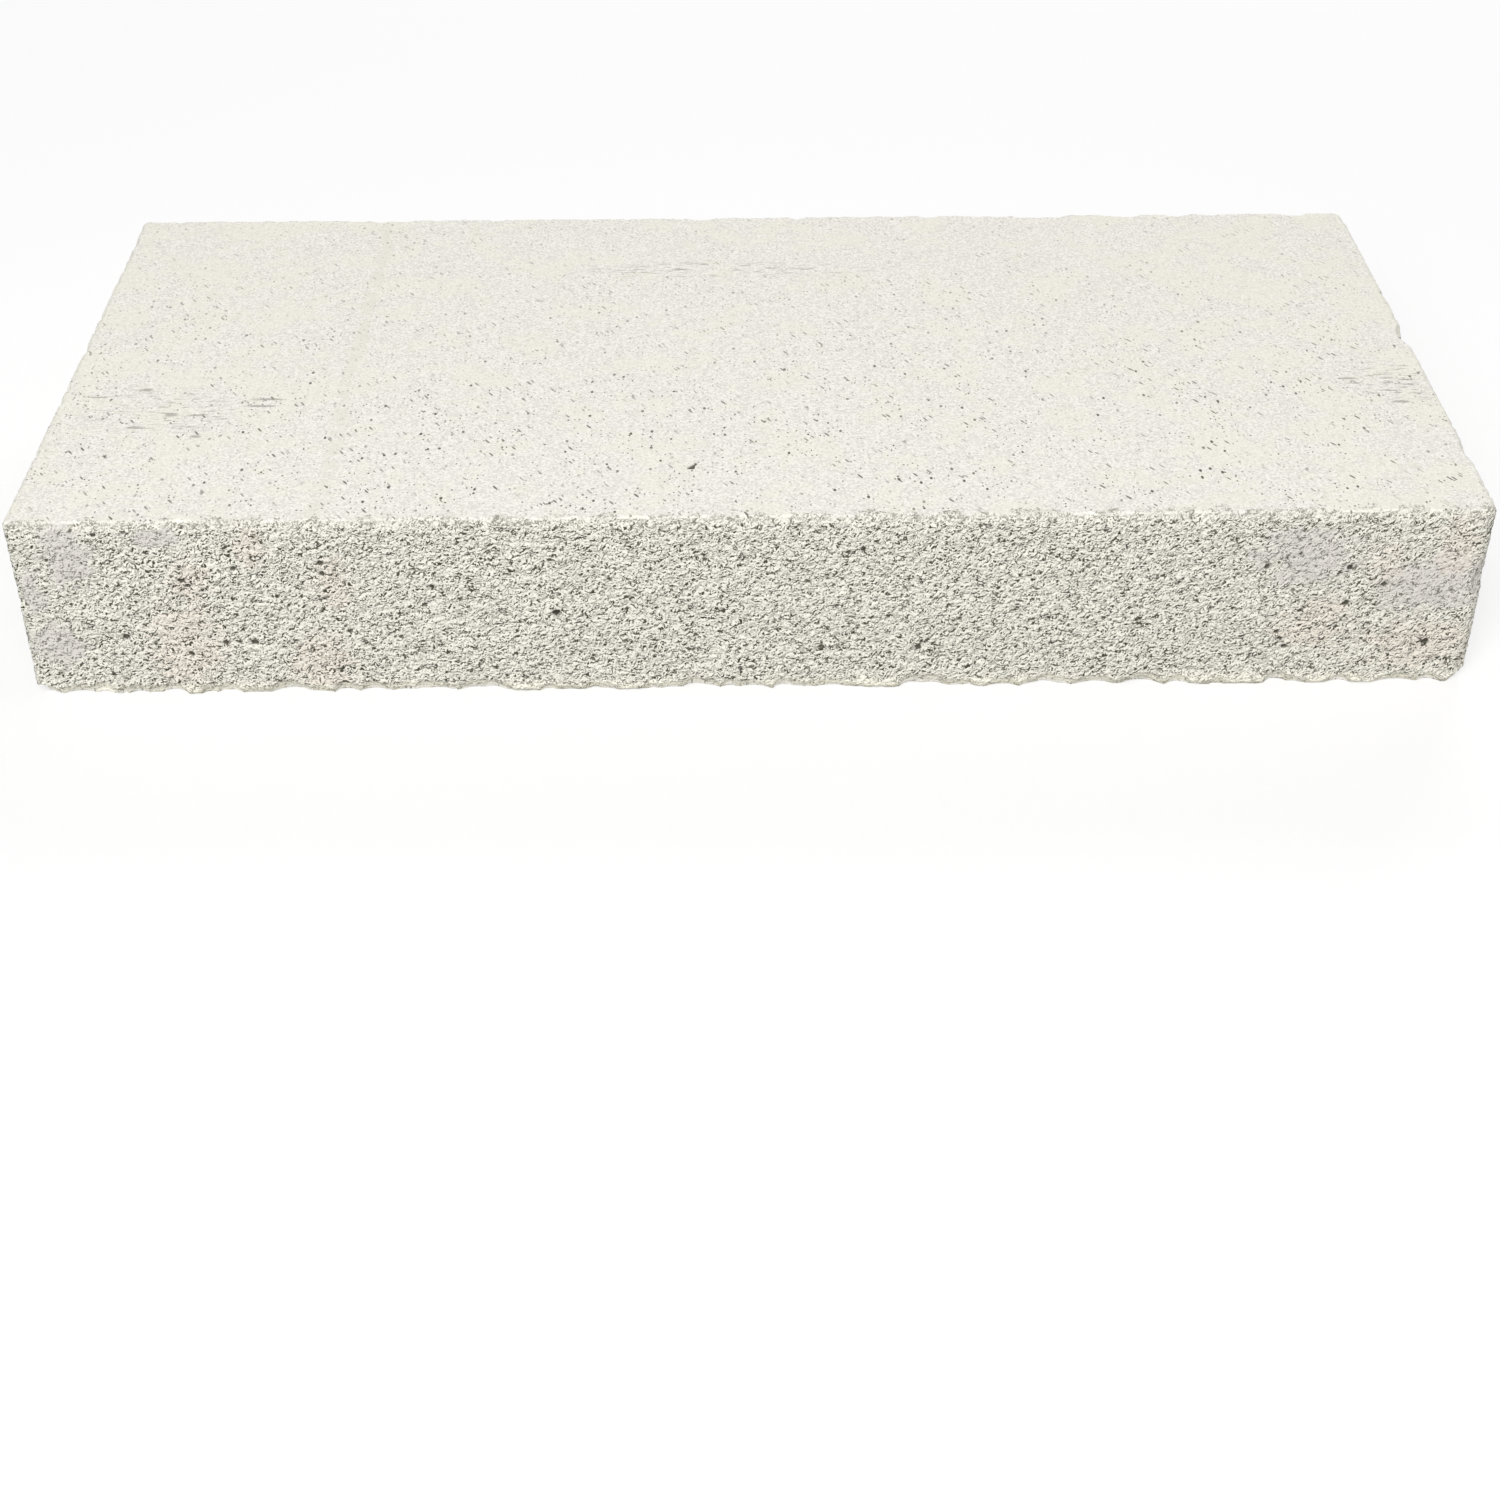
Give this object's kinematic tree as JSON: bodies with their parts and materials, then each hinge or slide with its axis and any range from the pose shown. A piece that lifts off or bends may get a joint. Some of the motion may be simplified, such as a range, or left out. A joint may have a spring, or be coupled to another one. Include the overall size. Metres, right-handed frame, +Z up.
{
  "type": "refractory firebrick",
  "caption": "Thin insulating refractory brick: one porous fired ceramic block with two flat bed faces and torn side faces, for lining kilns, ovens and furnaces.",
  "frame": {"origin": "middle of the lower bed face, on the surface that the brick lies on", "axes": "+X along the length, +Y across the width to the back, +Z up through the thickness"},
  "size_m": [0.2286, 0.1142, 0.0318],
  "materials": {
    "fired_clay": "matte, porous, cream white"
  },
  "bodies": {
    "root": {"firebrick": "fired_clay"}
  },
  "joints": []
}
